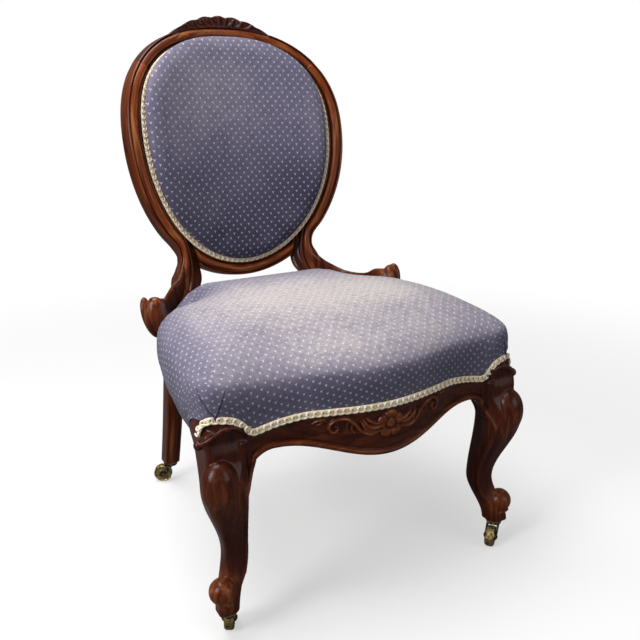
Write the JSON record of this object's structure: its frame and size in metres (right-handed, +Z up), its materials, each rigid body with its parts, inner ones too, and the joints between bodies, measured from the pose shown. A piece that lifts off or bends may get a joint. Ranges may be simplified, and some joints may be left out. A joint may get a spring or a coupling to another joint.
{
  "type": "nursing chair",
  "caption": "Low upholstered nursing chair: carved moulded oval back, thick sprung serpentine seat in dotted fabric, cabriole front legs, raked rear legs and swivel castors.",
  "frame": {"origin": "on the floor, under the centre of the chair's bounding box", "axes": "+Z up, the sitter faces -Y, and +X is on the right of someone who faces the chair"},
  "size_m": [0.569, 0.6506, 0.918],
  "materials": {
    "mahogany": "french polish",
    "beech": "sawn, unpolished",
    "dotted_fabric": "woven, faded",
    "gimp_braid": "braided",
    "horsehair": "curled hair",
    "jute": "coarse weave",
    "spring_steel": "copper washed",
    "brass": "worn cast brass",
    "dark_iron": "dark iron"
  },
  "bodies": {
    "frame": {"front_rail": "mahogany", "side_rail_left": "beech", "side_rail_right": "beech", "rear_rail": "beech", "corner_block_front_left": "beech", "corner_block_front_right": "beech", "corner_block_rear_left": "beech", "corner_block_rear_right": "beech", "front_leg_left": "mahogany", "front_leg_right": "mahogany", "rear_upright_left": "mahogany", "rear_upright_right": "mahogany", "crest_rail": "mahogany", "lower_back_rail": "mahogany", "hip_scroll_left": "mahogany", "hip_scroll_right": "mahogany", "seat_cover": "dotted_fabric", "seat_stuffing": "horsehair", "seat_hessian": "jute", "spring_front_left": "spring_steel", "spring_front_right": "spring_steel", "spring_middle": "spring_steel", "spring_rear_left": "spring_steel", "spring_rear_right": "spring_steel", "web_long_left": "jute", "web_long_middle": "jute", "web_long_right": "jute", "web_cross_front": "jute", "web_cross_middle": "jute", "web_cross_rear": "jute", "seat_gimp": "gimp_braid", "back_cover": "dotted_fabric", "back_stuffing": "horsehair", "back_hessian": "jute", "back_outside_cover": "dotted_fabric", "back_gimp": "gimp_braid", "outside_back_gimp": "gimp_braid", "castor_plate_front_left": "dark_iron", "castor_plate_front_right": "dark_iron", "castor_plate_rear_left": "dark_iron", "castor_plate_rear_right": "dark_iron"},
    "fork_front_left": {"castor_fork_front_left": "dark_iron", "castor_axle_front_left": "dark_iron"},
    "wheel_front_left": {"castor_wheel_front_left": "brass"},
    "fork_front_right": {"castor_fork_front_right": "dark_iron", "castor_axle_front_right": "dark_iron"},
    "wheel_front_right": {"castor_wheel_front_right": "brass"},
    "fork_rear_left": {"castor_fork_rear_left": "dark_iron", "castor_axle_rear_left": "dark_iron"},
    "wheel_rear_left": {"castor_wheel_rear_left": "brass"},
    "fork_rear_right": {"castor_fork_rear_right": "dark_iron", "castor_axle_rear_right": "dark_iron"},
    "wheel_rear_right": {"castor_wheel_rear_right": "brass"}
  },
  "joints": [
    {"name": "swivel_front_left", "type": "hinge", "parent": "frame", "child": "fork_front_left", "pos_m": [-0.2565, -0.28135, 0], "axis": [0, 0, 1], "continuous": true},
    {"name": "roll_front_left", "type": "hinge", "parent": "fork_front_left", "child": "wheel_front_left", "pos_m": [-0.24852, -0.26634, 0.018], "axis": [0.8829, -0.4695, 0], "continuous": true},
    {"name": "swivel_front_right", "type": "hinge", "parent": "frame", "child": "fork_front_right", "pos_m": [0.2565, -0.28135, 0], "axis": [0, 0, 1], "continuous": true},
    {"name": "roll_front_right", "type": "hinge", "parent": "fork_front_right", "child": "wheel_front_right", "pos_m": [0.24257, -0.2911, 0.018], "axis": [-0.5736, 0.8191, 0], "continuous": true},
    {"name": "swivel_rear_left", "type": "hinge", "parent": "frame", "child": "fork_rear_left", "pos_m": [-0.183, 0.21165, 0], "axis": [0, 0, 1], "continuous": true},
    {"name": "roll_rear_left", "type": "hinge", "parent": "fork_rear_left", "child": "wheel_rear_left", "pos_m": [-0.19801, 0.21963, 0.018], "axis": [0.4695, 0.8829, 0], "continuous": true},
    {"name": "swivel_rear_right", "type": "hinge", "parent": "frame", "child": "fork_rear_right", "pos_m": [0.183, 0.21165, 0], "axis": [0, 0, 1], "continuous": true},
    {"name": "roll_rear_right", "type": "hinge", "parent": "fork_rear_right", "child": "wheel_rear_right", "pos_m": [0.19602, 0.22258, 0.018], "axis": [0.6428, -0.766, 0], "continuous": true}
  ]
}
